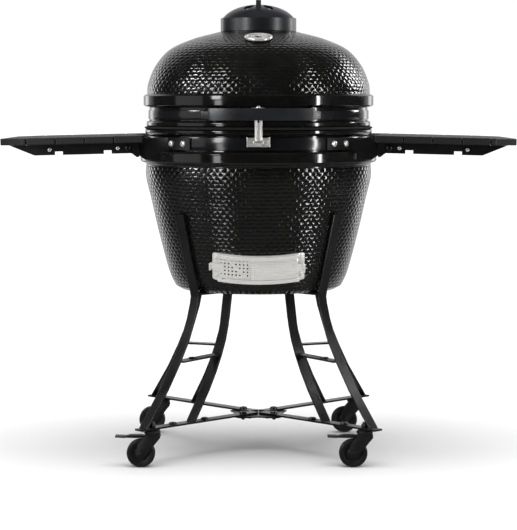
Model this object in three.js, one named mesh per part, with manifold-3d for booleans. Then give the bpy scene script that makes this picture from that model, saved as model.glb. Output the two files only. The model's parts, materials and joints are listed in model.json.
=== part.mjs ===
import * as THREE from "three";
import { mergeVertices } from "three/addons/utils/BufferGeometryUtils.js";
import Module from "manifold-3d";

// Kamado ceramic grill on a four-legged cart. Millimetres, +Z up, front faces -Y.
// Origin on the floor, under the centre of the bowl.

const wasm = await Module();
wasm.setup();

// Shared fits
const roundSteps = 40;
const gap = 0.3;

// Bowl and lid
const wall = 26;
const bowlBottom = 448.8;
const bowlRim = 886;
const ridgeRadius = 324;
const bandRadius = 303;
const bandSeat = 300;
const bowlBandLow = 832;
const bowlBandHigh = 866;
const lidRimLow = 892.8;
const lidRidgeRadius = 315;
const lidBandLow = 912;
const lidBandHigh = 937;
const lidTop = 1150;
const chimneyRadius = 68;

// Top vent
const ventRadius = 103.5;
const ventLow = 1150.4;
const ventHigh = 1188;
const capRadius = 98;
const capTop = 1225;
const finTop = 1235;
const finThick = 14;
const petalCount = 6;
const ventSteps = 32;

// thermometer
const gaugeRadius = 37.5;
const gaugeTilt = 14;
const gaugeY = -188;
const gaugeZ = 1123.7;

// Lid hinge at the back
const hingeY = 337;
const hingeZ = 894;
const hingePinRadius = 6;

// Handle and latch at the front
const handleRadius = 348;
const handleLow = 911;
const handleHigh = 943;
const handleHalfAngle = 23.5;
const handleCentreAngle = 1.5;
const bailPivotY = -317;
const bailPivotZ = 940;
const bailRodRadius = 4;
const bailSpacing = 13;

// Side shelves
const shelfPivotX = 345;
const shelfPivotZ = 838;
const shelfTop = 870;
const slatThick = 18;
const shelfDroop = 1.4;
const shelfInner = 305;
const shelfOuter = 685;
const shelfDepth = 500;
const shelfChamfer = 62;
const slatCount = 5;
const slatSeam = 3;
const railY = 212;
const railThick = 5;
const bracketY = 190;

// Draft door, wrapped on a cylinder that leans with the bowl
const draftTilt = 18;
const draftRadius = 277;
const draftCentre = 515;
const draftHalfAngle = 27;
const draftHalfHeight = 38;
const panelHalfHeight = 30;
const portFrom = -97;
const portTo = -27;
const portLow = 492;
const portHigh = 537;
const holePitch = 10.2;
const holeRadius = 2.6;

// Cart
const legWidth = 31;
const legThick = 5;
const armWidth = 30;
const armLow = 100;
const armThick = 5;
const armEnd = 443;
const linkLow = 443.5;
const stemReach = 395;

// Casters
const wheelRadius = 37.5;
const wheelWidth = 24;
const trail = 30;

const deg = Math.PI / 180;
const grill = new THREE.Group();
grill.name = "kamado_grill";

// ---- helpers ----

function solid(geometry) {
  const bare = geometry.clone();
  bare.deleteAttribute("normal");
  bare.deleteAttribute("uv");
  const merged = mergeVertices(bare, 1e-4);
  return new wasm.Manifold(
    new wasm.Mesh({
      numProp: 3,
      vertProperties: merged.attributes.position.array,
      triVerts: new Uint32Array(merged.index.array),
    }),
  );
}

function join(...solids) {
  return solids.reduce((all, next) => all.add(next));
}

function addPart(name, made, colour, roughness, metalness) {
  const mesh = made.getMesh();
  const points = new Float32Array(mesh.numVert * 3);
  for (let i = 0; i < mesh.numVert; i += 1) {
    const start = i * mesh.numProp;
    points.set(mesh.vertProperties.subarray(start, start + 3), i * 3);
  }
  const indexed = new THREE.BufferGeometry();
  indexed.setAttribute("position", new THREE.BufferAttribute(points, 3));
  indexed.setIndex(new THREE.BufferAttribute(mesh.triVerts, 1));
  const geometry = indexed.toNonIndexed();
  geometry.computeVertexNormals();
  const material = new THREE.MeshStandardMaterial({ color: colour, roughness, metalness });
  const part = new THREE.Mesh(geometry, material);
  part.name = name;
  grill.add(part);
}

// Signed area of a closed outline, to keep every revolved skin facing out.
function outlineArea(points) {
  let sum = 0;
  points.forEach((p, i) => {
    const q = points[(i + 1) % points.length];
    sum += p.x * q.y - q.x * p.y;
  });
  return sum / 2;
}

// Revolves a closed outline of (radius, height) about Z.
function turn(outline, steps = roundSteps) {
  let points = outline.map(([r, z]) => new THREE.Vector2(r, z));
  if (outlineArea(points) < 0) points = points.reverse();
  const onAxis = points.findIndex((p, i) => {
    const next = points[(i + 1) % points.length];
    return p.x === 0 && next.x === 0;
  });
  if (onAxis >= 0) {
    points = points.slice(onAxis + 1).concat(points.slice(0, onAxis + 1));
  } else {
    points.push(points[0].clone());
  }
  const geometry = new THREE.LatheGeometry(points, steps);
  geometry.rotateX(Math.PI / 2);
  return solid(geometry);
}

function box(low, high) {
  const size = high.map((v, i) => v - low[i]);
  const geometry = new THREE.BoxGeometry(...size);
  geometry.translate(...high.map((v, i) => (v + low[i]) / 2));
  return solid(geometry);
}

// A round bar between two points.
function bar(from, to, radius, steps = 16) {
  const a = new THREE.Vector3(...from);
  const b = new THREE.Vector3(...to);
  const geometry = new THREE.CylinderGeometry(radius, radius, a.distanceTo(b), steps);
  const way = b.clone().sub(a).normalize();
  const spin = new THREE.Quaternion().setFromUnitVectors(new THREE.Vector3(0, 1, 0), way);
  geometry.applyQuaternion(spin);
  geometry.translate((a.x + b.x) / 2, (a.y + b.y) / 2, (a.z + b.z) / 2);
  return solid(geometry);
}

// Extrudes an outline of [x, y] along +Z from low to high.
function slab(outline, low, high) {
  const shape = new THREE.Shape(outline.map(([x, y]) => new THREE.Vector2(x, y)));
  const geometry = new THREE.ExtrudeGeometry(shape, { depth: high - low, bevelEnabled: false });
  geometry.translate(0, 0, low);
  return solid(geometry);
}

// Extrudes an outline of [x, z] along Y from low to high.
function upright(outline, low, high) {
  const shape = new THREE.Shape(outline.map(([x, z]) => new THREE.Vector2(x, z)));
  const geometry = new THREE.ExtrudeGeometry(shape, { depth: high - low, bevelEnabled: false });
  geometry.rotateX(Math.PI / 2);
  geometry.translate(0, high, 0);
  return solid(geometry);
}

// A stretch of ring. Angles run from the front (-Y), positive toward +X.
function ringStretch(inner, outer, from, to, low, high, steps = 12) {
  const shape = new THREE.Shape();
  shape.absarc(0, 0, outer, (from - 90) * deg, (to - 90) * deg, false);
  shape.absarc(0, 0, inner, (to - 90) * deg, (from - 90) * deg, true);
  shape.closePath();
  const options = { depth: high - low, bevelEnabled: false, curveSegments: steps };
  const geometry = new THREE.ExtrudeGeometry(shape, options);
  geometry.translate(0, 0, low);
  return solid(geometry);
}

function roundEnd(x, z, radius, from, to) {
  const points = [];
  for (let i = 0; i <= 6; i += 1) {
    const angle = (from + ((to - from) * i) / 6) * deg;
    points.push([x + radius * Math.cos(angle), z + radius * Math.sin(angle)]);
  }
  return points;
}

function curvePoints(points, steps) {
  const curve = new THREE.SplineCurve(points.map(([a, b]) => new THREE.Vector2(a, b)));
  return curve.getPoints(steps).map((p) => [p.x, p.y]);
}

function spun(made, angle) {
  return made.rotate([0, 0, angle]);
}

// ---- ceramic bowl ----

// Cuts away what would touch the bowl or its band.
function clearOfBowl(made) {
  const band = turn([[0, 829], [bandRadius + gap, 829], [bandRadius + gap, 869], [0, 869]]);
  return made.subtract(turn([...bowlOutline(gap), [0, bowlRim]])).subtract(band);
}

function bowlSide() {
  return curvePoints(
    [[228, 458], [246, 498], [274, 603], [295, 695], [309, 755], [308, 789]],
    9,
  );
}

function bowlOutline(extra) {
  const side = bowlSide().map(([r, z]) => [r + extra, z]);
  return [
    [0, bowlBottom - extra],
    [212 + extra, bowlBottom - extra],
    ...side,
    [311 + extra, 794],
    [321 + extra, 797],
    [ridgeRadius + extra, 801],
    [ridgeRadius + extra, 823],
    [321 + extra, 827],
    [bandSeat + extra, 829],
    [bandSeat + extra, 869],
    [308 + extra, 873],
    [311 + extra, 877],
    [311 + extra, 883],
    [308 + extra, bowlRim],
  ];
}

function bowl() {
  const inside = [
    [283, bowlRim],
    [277, 829],
    [282, 755],
    [268, 692],
    [248, 603],
    [221, 505],
    [208, bowlBottom + wall],
    [0, bowlBottom + wall],
  ];
  const body = turn([...bowlOutline(0), ...inside]);
  return body.subtract(airPort());
}

function bowlBand() {
  const low = bowlBandLow;
  const high = bowlBandHigh;
  const inner = bandSeat + gap;
  return turn([[inner, low], [bandRadius, low], [bandRadius, high], [inner, high]]);
}

function feltRing() {
  const low = bowlRim + gap;
  const high = lidRimLow - gap;
  const middle = (low + high) / 2;
  return turn([[284, low], [309, low], [312.5, middle], [309, high], [284, high]]);
}

// ---- inside the bowl ----

function firebox() {
  const floor = bowlBottom + wall + gap;
  const body = turn([
    [158, floor],
    [188, floor],
    [204, 505],
    [236, 603],
    [262, 755],
    [262, 798],
    [238, 798],
    [200, 590],
    [200, 560],
    [176, 560],
  ], 36);
  return body.subtract(airPort());
}

function charcoalGrate() {
  const low = 560 + gap;
  let plate = turn([[0, low], [196, low], [196, low + 8], [0, low + 8]], 36);
  for (const x of [-120, -80, -40, 0, 40, 80, 120]) {
    const half = Math.sqrt(170 ** 2 - x ** 2);
    plate = plate.subtract(box([x - 8, -half, low - 1], [x + 8, -10, low + 9]));
    plate = plate.subtract(box([x - 8, 10, low - 1], [x + 8, half, low + 9]));
  }
  return plate;
}

function cookingGrate() {
  const low = 798 + gap;
  const high = low + 8;
  let grate = turn([[246, low], [256, low], [256, high], [246, high]], 32);
  const reach = 251;
  for (let x = -224; x <= 224; x += 32) {
    const half = Math.sqrt(reach ** 2 - x ** 2);
    grate = grate.add(box([x - 3, -half, low + 2.5], [x + 3, half, high - 0.5]));
  }
  for (const y of [-88, 88]) {
    const half = Math.sqrt(reach ** 2 - y ** 2);
    grate = grate.add(box([-half, y - 4, low + 0.5], [half, y + 4, low + 5]));
  }
  return grate;
}

// ---- ceramic lid ----

function lidShell() {
  const dome = curvePoints(
    [[305, 981], [302, 1011], [282, 1058], [243, 1102], [180, 1131], [116, 1148]],
    8,
  );
  const hollow = curvePoints(
    [[98, 1126], [168, 1106], [222, 1079], [257, 1042], [277, 1000], [279, 960]],
    5,
  );
  return turn([
    [284, lidRimLow],
    [305, lidRimLow],
    [307, 896],
    [307, 904],
    [305, 907],
    [bandSeat - 1, 909],
    [bandSeat - 1, 944],
    [312, 948],
    [lidRidgeRadius, 951],
    [lidRidgeRadius, 975],
    [312, 978],
    ...dome,
    [110, lidTop],
    [chimneyRadius, lidTop],
    [chimneyRadius, 1126],
    ...hollow,
  ]);
}

function lidBand() {
  const inner = bandSeat - 1 + gap;
  const outer = bandRadius - 1;
  const low = lidBandLow;
  const high = lidBandHigh;
  let band = turn([[inner, low], [outer, low], [outer, high], [inner, high]]);
  for (const side of [-1, 1]) {
    const x = side * (bailSpacing / 2 + bailRodRadius + 3);
    const from = [x - 1.5, bailPivotY - 7, bailPivotZ - 7];
    const to = [x + 1.5, -outer + 1.5, high];
    const tip = box([x - 1.5, bailPivotY - 7, high - 1], [x + 1.5, -310, bailPivotZ + 7]);
    band = join(band, box(from, to), tip);
  }
  const hole = bar([-30, bailPivotY, bailPivotZ], [30, bailPivotY, bailPivotZ], bailRodRadius + 0.2);
  return band.subtract(hole);
}

// A wide curved grip whose ends turn in to the lid band.
function handle() {
  const grip = ringStretch(handleRadius - 4, handleRadius, -handleHalfAngle, handleHalfAngle, handleLow, handleHigh, 14);
  const ends = [-1, 1].map((side) => {
    const outer = side * handleHalfAngle;
    const inner = side * (handleHalfAngle + 2.6);
    const a = polar(handleRadius, outer);
    const b = polar(handleRadius - 5, outer - side * 0.9);
    const c = polar(bandRadius + 3, inner - side * 0.9);
    const d = polar(bandRadius + 3, inner);
    return slab(side > 0 ? [a, b, c, d].reverse() : [a, b, c, d], handleLow + 3, handleHigh - 3);
  });
  const feet = [-1, 1].map((side) => {
    const from = side > 0 ? handleHalfAngle : -handleHalfAngle - 5;
    return ringStretch(bandRadius - 1 + gap, bandRadius + 3.5, from, from + 5, lidBandLow + 2, lidBandHigh - 2, 3);
  });
  return spun(join(grip, ...ends, ...feet), handleCentreAngle);
}

function polar(radius, angle) {
  return [radius * Math.sin(angle * deg), -radius * Math.cos(angle * deg)];
}

// ---- top vent ----

function petals(low, high, first) {
  const cuts = [];
  for (let i = 0; i < petalCount; i += 1) {
    const shape = new THREE.Shape();
    shape.moveTo(0, -28);
    shape.quadraticCurveTo(16.5, -47, 11, -64);
    shape.quadraticCurveTo(0, -74, -11, -64);
    shape.quadraticCurveTo(-16.5, -47, 0, -28);
    const options = { depth: high - low, bevelEnabled: false, curveSegments: 3 };
    const geometry = new THREE.ExtrudeGeometry(shape, options);
    geometry.translate(0, 0, low);
    cuts.push(spun(solid(geometry), first + i * (360 / petalCount)));
  }
  return join(...cuts);
}

// Points down a shallow dome, from its crown to its edge.
function domeLine(radius, low, high, steps) {
  const flat = Math.sqrt(1 - 0.94 ** 2);
  const line = [];
  for (let i = 0; i <= steps; i += 1) {
    const share = i / steps;
    const lift = (Math.sqrt(1 - (0.94 * share) ** 2) - flat) / (1 - flat);
    line.push([radius * share, low + (high - low) * lift]);
  }
  return line;
}

// A drum with a domed deck, whose petal openings the turning cap covers and uncovers.
function ventBase() {
  const under = domeLine(86, ventHigh - 8, ventHigh + 21, 6);
  const deck = domeLine(90, ventHigh - 4, ventHigh + 25, 6).slice(1).reverse();
  const body = turn([
    ...under,
    [92, ventHigh - 8],
    [92, ventLow + 3],
    [74, ventLow],
    [ventRadius, ventLow],
    [ventRadius, ventHigh - 2],
    [ventRadius - 2, ventHigh],
    [capRadius + 1.5, ventHigh],
    [capRadius + 0.5, ventHigh - 3],
    ...deck,
    [8, ventHigh + 24.8],
    [8, ventHigh + 26.5],
    [0, ventHigh + 26.5],
  ], ventSteps);
  return body.subtract(petals(ventHigh - 20, ventHigh + 30, 0));
}

function ventCap() {
  const top = domeLine(capRadius, ventHigh - 1, capTop, 6);
  const under = domeLine(capRadius - 4, ventHigh - 2.7, capTop - 4.7, 6).slice(1).reverse();
  const socket = [[8.4, 1213.6], [8.4, 1217], [0, 1217]];
  let cap = turn([...top, [capRadius, ventHigh - 2.7], ...under, ...socket], ventSteps);
  cap = cap.subtract(petals(ventHigh + 4, capTop + 5, 180 / petalCount));
  const side = [[-86, 1196], [-82, 1210], [-62, finTop], [62, finTop], [82, 1210], [86, 1196]];
  const fin = spun(upright(side.reverse(), -finThick / 2, finThick / 2), 90);
  const inside = top.slice(1).reverse().map(([r, z]) => [r * 0.97, z - 2]);
  const hollow = turn([[0, ventHigh - 10], [capRadius - 3, ventHigh - 10], ...inside, [0, capTop - 2]], ventSteps);
  return cap.add(fin.subtract(hollow));
}

// ---- thermometer on the front of the dome ----

function onDome(made) {
  return made.rotate([gaugeTilt, 0, 0]).translate([0, gaugeY, gaugeZ]);
}

function thermometer() {
  const stem = [[0, -30], [4, -30], [4, 3]];
  const rim = [[gaugeRadius - 3.5, 3], [gaugeRadius, 5], [gaugeRadius, 9], [gaugeRadius - 3.5, 11]];
  return onDome(turn([...stem, ...rim, [31, 9.5], [0, 9.5]], 32));
}

function thermometerHole() {
  return onDome(bar([0, 0, -60], [0, 0, 30], 5, 16));
}

function thermometerSeat() {
  return onDome(bar([0, 0, 2], [0, 0, 30], gaugeRadius + 1, 32));
}

// ---- lid hinge ----

function hingeBase() {
  const ears = [-1, 1].map((side) => {
    const shape = [[296, 834], [296, 864], [hingeY - 9, hingeZ + 8], [hingeY + 3, hingeZ + 11]];
    shape.push([hingeY + 11, hingeZ + 3], [hingeY + 9, hingeZ - 10]);
    const plate = upright(shape, -3, 3).rotate([0, 0, 90]);
    return plate.translate([side * 50, 0, 0]);
  });
  const pad = ringStretch(bandRadius + gap, bandRadius + 5, 168, 192, 833, 865, 8);
  const pin = bar([-60, hingeY, hingeZ], [60, hingeY, hingeZ], hingePinRadius, 24);
  return clearOfBowl(join(pad, ...ears, pin));
}

function hingeArm() {
  const pad = ringStretch(bandRadius - 1 + gap, bandRadius + 4, 172.6, 187.4, 914, 936, 8);
  const arms = [-1, 1].map((side) => {
    const shape = [[298, 914], [298, 936], [hingeY - 4, hingeZ + 10], [hingeY, hingeZ - 10], [hingeY - 8, hingeZ - 4]];
    return upright(shape, -3, 3).rotate([0, 0, 90]).translate([side * 34, 0, 0]);
  });
  const barrel = bar([-46.5, hingeY, hingeZ], [46.5, hingeY, hingeZ], 11, 24);
  const bore = bar([-70, hingeY, hingeZ], [70, hingeY, hingeZ], hingePinRadius + 0.2, 24);
  const band = turn([[0, 900], [302 + gap, 900], [302 + gap, 942], [0, 942]]);
  return join(pad, ...arms, barrel).subtract(bore).subtract(band);
}

// ---- latch ----

function latchBail() {
  const low = 858;
  const top = bar([-17, bailPivotY, bailPivotZ], [17, bailPivotY, bailPivotZ], bailRodRadius);
  const wires = [-1, 1].map((side) => {
    const x = (side * bailSpacing) / 2;
    return bar([x, bailPivotY, bailPivotZ], [x, bailPivotY, low], bailRodRadius, 12);
  });
  const web = box([-3, bailPivotY - 1.5, low], [3, bailPivotY + 1.5, 905]);
  return join(top, ...wires, web);
}

function latchBracket() {
  const back = -bandRadius - gap - 1.4;
  const plate = box([-30, back - 3, 842], [30, back, 866]);
  const sides = [-1, 1].map((side) => box([side * 29 - 1.5, back - 16, 842], [side * 29 + 1.5, back, 868]));
  const shelf = box([-9, back - 18, 845], [9, back, 853]);
  return join(plate, ...sides, shelf);
}

// ---- draft door ----

function draftPlace(made) {
  const rise = draftCentre + draftRadius * Math.sin(draftTilt * deg);
  return made.rotate([draftTilt, 0, 0]).translate([0, 0, rise]);
}

// The air passage runs level through the frame, the bowl and the firebox.
function airPort() {
  return box([portFrom, -300, portLow], [portTo, -120, portHigh]);
}

function draftFrame() {
  const half = draftHalfHeight;
  const inner = panelHalfHeight + 0.5;
  const face = draftRadius - 9;
  const plate = ringStretch(250, face, -draftHalfAngle, draftHalfAngle, -half, half, 14);
  const rails = [-1, 1].map((side) => {
    const low = side > 0 ? inner : -half;
    const high = side > 0 ? half : -inner;
    const lipLow = side > 0 ? inner - 2.5 : -half;
    const lipHigh = side > 0 ? half : -inner + 2.5;
    const rail = ringStretch(face - 1, draftRadius, -23, 23, low, high, 12);
    return rail.add(ringStretch(draftRadius - 1.6, draftRadius, -23, 23, lipLow, lipHigh, 12));
  });
  const screws = [-1, 1].flatMap((side) => [-1, 1].map((up) => {
    const [x, y] = polar(face - 1, side * 25);
    const [fx, fy] = polar(face + 3.5, side * 25);
    return bar([x, y, up * 26], [fx, fy, up * 26], 5, 8);
  }));
  const body = join(plate, ...rails, ...screws);
  const round = upright(roundedPlate(124, half, 10), -300, -150);
  const placed = draftPlace(body.intersect(round));
  return clearOfBowl(placed).subtract(airPort());
}

function roundedPlate(halfWidth, halfHeight, radius) {
  const points = [];
  for (const [sx, sy, start] of [[1, 1, 0], [-1, 1, 90], [-1, -1, 180], [1, -1, 270]]) {
    for (const part of [0, 30, 60, 90]) {
      const angle = (start + part) * deg;
      const x = sx * (halfWidth - radius) + radius * Math.cos(angle);
      points.push([x, sy * (halfHeight - radius) + radius * Math.sin(angle)]);
    }
  }
  return points;
}

function pullTongue(inner, outer, side) {
  const from = side > 0 ? 20 : -28;
  const to = side > 0 ? 26 : -20;
  const reach = ringStretch(inner, outer, from, to, -10, 10, 6);
  const tip = side > 0 ? to - 0.5 : from;
  return reach.add(ringStretch(inner, outer + 8, tip, tip + 0.5, -10, 10, 2));
}

function draftScreen() {
  const half = panelHalfHeight;
  const inner = draftRadius - 7.8;
  const outer = inner + 1.6;
  let screen = ringStretch(inner, outer, -22.5, -1, -half, half, 8);
  const holes = [];
  for (let column = 0; column < 8; column += 1) {
    for (let row = 0; row < 5; row += 1) {
      if (column - row === 2) continue;
      const angle = -21.3 + (column * holePitch) / inner / deg;
      const z = 24.5 - row * holePitch;
      const [x, y] = polar(inner - 5, angle);
      const [fx, fy] = polar(outer + 5, angle);
      holes.push(bar([x, y, z], [fx, fy, z], holeRadius, 6));
    }
  }
  screen = screen.subtract(wasm.Manifold.union(holes));
  return draftPlace(screen.add(pullTongue(inner, outer, -1)));
}

function draftDoor() {
  const half = panelHalfHeight;
  const inner = draftRadius - 4.4;
  const plate = ringStretch(inner, inner + 1.6, -4.2, 22.5, -half, half, 10);
  return draftPlace(plate.add(pullTongue(inner, inner + 1.6, 1)));
}

// ---- side shelves ----

function drooped(made, side) {
  const back = made.translate([-side * shelfPivotX, 0, -shelfPivotZ]);
  return back.rotate([0, side * shelfDroop, 0]).translate([side * shelfPivotX, 0, shelfPivotZ]);
}

function shelfOutline() {
  const half = shelfDepth / 2;
  return [
    [shelfInner, -half],
    [shelfOuter - shelfChamfer, -half],
    [shelfOuter, -half + shelfChamfer],
    [shelfOuter, half - shelfChamfer],
    [shelfOuter - shelfChamfer, half],
    [shelfInner, half],
  ];
}

function slat(index, side) {
  const pitch = (shelfOuter - shelfInner + slatSeam) / slatCount;
  const from = shelfInner + index * pitch;
  const to = from + pitch - slatSeam;
  const low = shelfTop - slatThick;
  const whole = slab(shelfOutline(), low, shelfTop);
  let board = whole.intersect(box([from, -300, low], [to, 300, shelfTop]));
  if (index === 0) board = board.subtract(bar([0, 0, low - 1], [0, 0, shelfTop + 1], 338, 96));
  if (side < 0) board = board.mirror([1, 0, 0]);
  return drooped(board, side);
}

// Two rails under the boards, joined by two flat ties.
function shelfFrame(side) {
  const top = shelfTop - slatThick - gap;
  const low = top - 28;
  const outline = [
    [316, top],
    [316, low - 10],
    [322, low - 11],
    [336, low],
    [388, low],
    [388, low + 12],
    [409, low + 12],
    [409, low],
    [517, low],
    [517, low + 12],
    [538, low + 12],
    [538, low],
    [592, low],
    [658, top],
  ];
  const rails = [-1, 1].map((end) => {
    const near = end * railY;
    return upright(outline, near - railThick / 2, near + railThick / 2);
  });
  const ties = [362, 560].map((x) => box([x, -railY, top - 4], [x + 30, railY, top]));
  const hole = bar([shelfPivotX, -300, shelfPivotZ], [shelfPivotX, 300, shelfPivotZ], 5.2);
  let frame = join(...rails, ...ties).subtract(hole);
  if (side < 0) frame = frame.mirror([1, 0, 0]);
  return frame;
}

function shelfBracket(side, end) {
  const pad = ringStretch(bandRadius + gap, bandRadius + 5, 36, 54, bowlBandLow + 1, bowlBandHigh - 1, 6);
  const plate = upright(
    [
      [222, 864],
      [222, 806],
      [300, 806],
      [330, 826],
      ...roundEnd(shelfPivotX, shelfPivotZ, 12.3, -90, 90),
      [303, shelfPivotZ + 12.3],
      [303, 864],
    ],
    -bracketY - 2.5,
    -bracketY + 2.5,
  );
  const pin = bar([shelfPivotX, -railY - 6, shelfPivotZ], [shelfPivotX, -bracketY, shelfPivotZ], 5);
  let bracket = clearOfBowl(join(pad, plate, pin));
  if (end > 0) bracket = bracket.mirror([0, 1, 0]);
  if (side < 0) bracket = bracket.mirror([1, 0, 0]);
  return bracket;
}

// ---- cart ----

// A flat bar bent the easy way along a line of (reach, height) points.
function bentStrip(points, steps, thick, width) {
  const curve = new THREE.SplineCurve(points.map(([u, z]) => new THREE.Vector2(u, z)));
  const left = [];
  const right = [];
  for (let i = 0; i <= steps; i += 1) {
    const at = curve.getPoint(i / steps);
    const along = curve.getTangent(i / steps);
    left.push([at.x - (along.y * thick) / 2, at.y + (along.x * thick) / 2]);
    right.unshift([at.x + (along.y * thick) / 2, at.y - (along.x * thick) / 2]);
  }
  return upright(left.concat(right), -width / 2, width / 2);
}

function legOuter() {
  const line = [[297, 661], [277, 579], [262, 526], [243, 456], [243, 420], [276, 326], [352, 200], [436, 92]];
  const strip = bentStrip(line, 14, legThick, legWidth);
  return strip.intersect(box([0, -50, armLow + armThick + gap], [600, 50, 700]));
}

// Inner strip with its top link under the bowl and its middle rung, bolted through at the front.
function legInner(bolted) {
  const line = [[118, linkLow + 2], [124, 405], [141, 318], [189, 210], [264, 92]];
  const strip = bentStrip(line, 10, legThick, legWidth);
  const link = box([115, -legWidth / 2, linkLow], [238, legWidth / 2, linkLow + 5]);
  const rung = upright([[157, 274], [297, 267], [297, 272], [157, 279]], -legWidth / 2, legWidth / 2);
  const bolts = bolted ? [bar([250, 0, 270], [250, 0, 277.6], 11, 8)] : [];
  const floor = box([0, -50, armLow + armThick + gap], [600, 50, linkLow + 5]);
  return join(strip, link, rung, ...bolts).intersect(floor);
}

function arm(bolted) {
  const top = armLow + armThick;
  const strap = box([armWidth / 2 + 1.4, -armWidth / 2, armLow], [armEnd, armWidth / 2, top]);
  const hole = bar([stemReach, 0, armLow - 5], [stemReach, 0, top + 5], 6.2, 16);
  const bolts = (bolted ? [60, 205, 322] : [60]).map((u) => bar([u, 0, top - 1], [u, 0, top + 4.6], 10.5, 8));
  return join(strap, ...bolts).subtract(hole);
}

function hubPlate() {
  const reach = 76;
  const corner = 92;
  const outline = [];
  for (let i = 0; i < 4; i += 1) {
    const mid = (i * 90 + 45) * deg;
    const spread = 14;
    outline.push([corner * Math.cos(mid - spread * deg), corner * Math.sin(mid - spread * deg)]);
    outline.push([corner * Math.cos(mid + spread * deg), corner * Math.sin(mid + spread * deg)]);
    const next = (i + 1) * 90 * deg;
    outline.push([reach * 0.85 * Math.cos(next), reach * 0.85 * Math.sin(next)]);
  }
  const plate = slab(outline, armLow - gap - 4, armLow - gap);
  const ends = [0, 1, 2, 3].flatMap((i) => [34, 60].map((u) => {
    const x = u * Math.cos((i * 90 + 45) * deg);
    const y = u * Math.sin((i * 90 + 45) * deg);
    return bar([x, y, armLow - gap - 12], [x, y, armLow - gap - 3], 5, 6);
  }));
  return join(plate, ...ends);
}

function atLeg(made, quarter) {
  return made.rotate([0, 0, quarter * 90 + 45]);
}

// ---- casters ----

function stemSpot(quarter) {
  const angle = (quarter * 90 + 45) * deg;
  return [stemReach * Math.cos(angle), stemReach * Math.sin(angle), 0];
}

function casterFork() {
  const inside = wheelWidth / 2 + 2.5;
  const top = armLow - gap;
  const plate = [[-16, 88], [20, 88], [22, 80], [-trail + 13, 32], [-trail + 6, 25], [-trail - 6, 25], [-trail - 13, 33], [-trail - 8, 62]];
  const cheeks = [-1, 1].map((side) => {
    const low = side > 0 ? inside : -inside - 3;
    return upright(plate.slice().reverse(), low, low + 3);
  });
  const crown = box([-18, -inside - 3, 85], [21, inside + 3, 89]);
  const cup = turn([[0, 88], [20, 88], [22, 91], [22, 95], [17, top - 0.7], [0, top - 0.7]], 14);
  const stem = bar([0, 0, 90], [0, 0, 119], 6, 12);
  const nut = bar([0, 0, armLow + armThick + gap], [0, 0, armLow + armThick + 9], 10, 6);
  const axle = bar([-trail, -inside - 8, wheelRadius], [-trail, inside + 8, wheelRadius], 4, 8);
  const heads = [-1, 1].map((side) => {
    const from = side * (inside + 2);
    return bar([-trail, from, wheelRadius], [-trail, side * (inside + 7), wheelRadius], 7, 6);
  });
  return join(...cheeks, crown, cup, stem, nut, axle, ...heads);
}

function casterWheel() {
  const half = wheelWidth / 2;
  const profile = [
    [4.3, -half],
    [12, -half],
    [16, -half + 4],
    [28, -half],
    [wheelRadius, -half + 5],
    [wheelRadius, half - 5],
    [28, half],
    [16, half - 4],
    [12, half],
    [4.3, half],
  ];
  return turn(profile, 24).rotate([90, 0, 0]).translate([-trail, 0, wheelRadius]);
}

function brakeLever() {
  const side = [[-14, 78.6], [-14, 84], [-30, 86], [-56, 86], [-72, 82.5], [-97, 83.5], [-98, 80.5], [-70, 79], [-46, 78]];
  const narrow = upright(side.slice().reverse(), -11, 11);
  const wide = upright([[-98, 80.5], [-97, 83.5], [-72, 82.5], [-70, 79.2]], -17, 17);
  return join(narrow, wide);
}

// ---- assembly ----

const glaze = [0x111312, 0.25, 0];
const steelBlack = [0x17181a, 0.45, 0.3];
const stainless = [0xc9c8c2, 0.28, 1];
const castGrey = [0x4a4f55, 0.45, 0.8];

addPart("bowl", bowl(), ...glaze);
addPart("bowl_band", bowlBand(), 0x1a1c1f, 0.3, 0.5);
addPart("felt_ring", feltRing(), 0x15140f, 0.95, 0);
addPart("firebox", firebox(), 0xb9a58a, 0.85, 0);
addPart("charcoal_grate", charcoalGrate(), 0x2b2a29, 0.8, 0.6);
addPart("cooking_grate", cookingGrate(), 0xb4b6b8, 0.3, 1);
addPart("draft_frame", draftFrame(), ...stainless);
addPart("draft_screen", draftScreen(), ...stainless);
addPart("draft_door", draftDoor(), ...stainless);
addPart("latch_bracket", latchBracket(), ...stainless);
addPart("hinge_base", hingeBase(), ...steelBlack);

const lid = lidShell().subtract(thermometerHole()).subtract(thermometerSeat());
addPart("lid_shell", lid, ...glaze);
addPart("lid_band", lidBand(), 0x1a1c1f, 0.3, 0.5);
addPart("lid_handle", handle(), 0x33373c, 0.4, 0.6);
addPart("latch_bail", latchBail(), 0xdcdcd8, 0.2, 1);
addPart("hinge_arm", hingeArm(), ...steelBlack);
addPart("vent_base", ventBase(), ...castGrey);
addPart("vent_cap", ventCap(), ...castGrey);
addPart("thermometer", thermometer(), 0xd8d8d2, 0.2, 1);

[[1, "right"], [-1, "left"]].forEach(([side, word]) => {
  for (let i = 0; i < slatCount; i += 1) {
    addPart(`shelf_${word}_slat_${i + 1}`, slat(i, side), 0x2b2d2f, 0.6, 0);
  }
  addPart(`shelf_${word}_frame`, drooped(shelfFrame(side), side), ...steelBlack);
  addPart(`bracket_${word}_front`, shelfBracket(side, -1), ...steelBlack);
  addPart(`bracket_${word}_rear`, shelfBracket(side, 1), ...steelBlack);
});

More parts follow.
